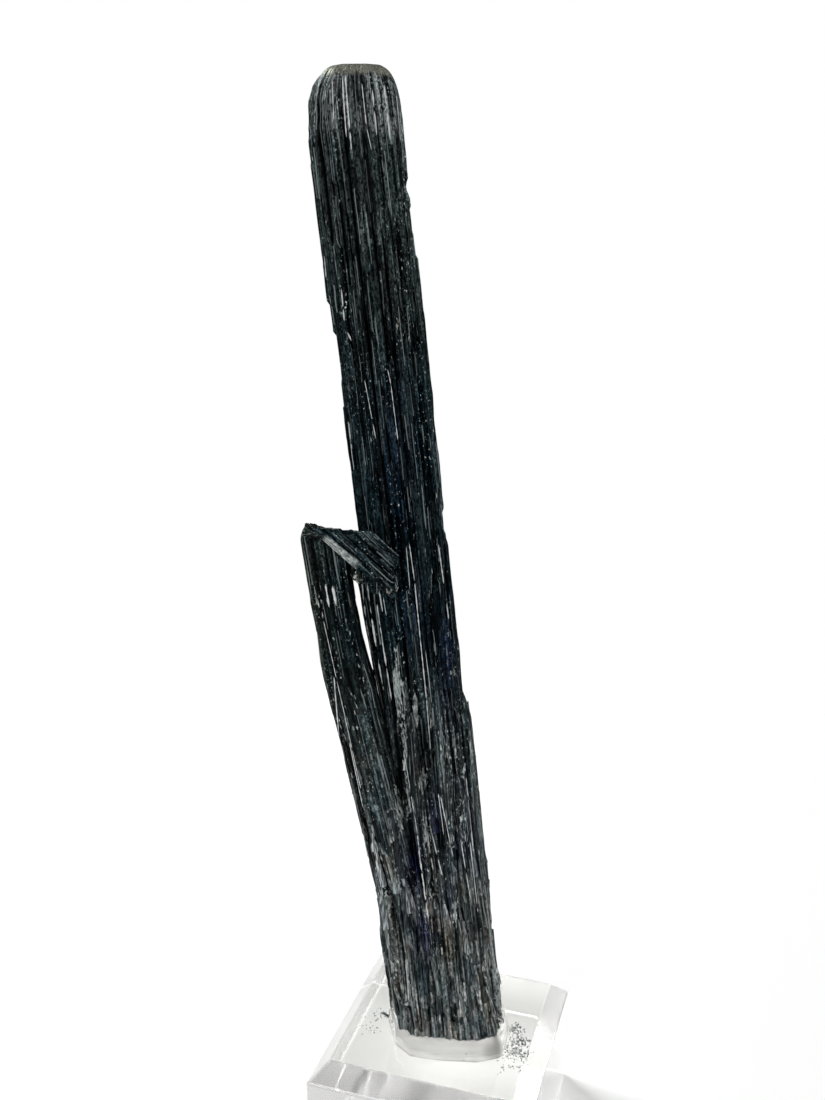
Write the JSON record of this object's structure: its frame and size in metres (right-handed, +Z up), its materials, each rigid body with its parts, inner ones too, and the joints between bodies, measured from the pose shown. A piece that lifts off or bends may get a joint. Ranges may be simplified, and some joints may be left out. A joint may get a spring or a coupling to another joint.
{
  "type": "stibnite crystal cluster",
  "caption": "Dark striated stibnite crystals grown together, held upright by clear putty on a bevelled clear acrylic display block.",
  "frame": {"origin": "centre of the display block's underside", "axes": "+Z up, X and Y along the block's sides; the specimen's broad face is turned 17.9 degrees from -Y towards +X"},
  "size_m": [0.0411, 0.038, 0.1805],
  "materials": {
    "stibnite": "satin",
    "clear_putty": "satin",
    "clear_acrylic": "polished"
  },
  "bodies": {
    "root": {"stibnite_crystals": "stibnite", "mounting_putty": "clear_putty", "acrylic_block": "clear_acrylic"}
  },
  "joints": []
}
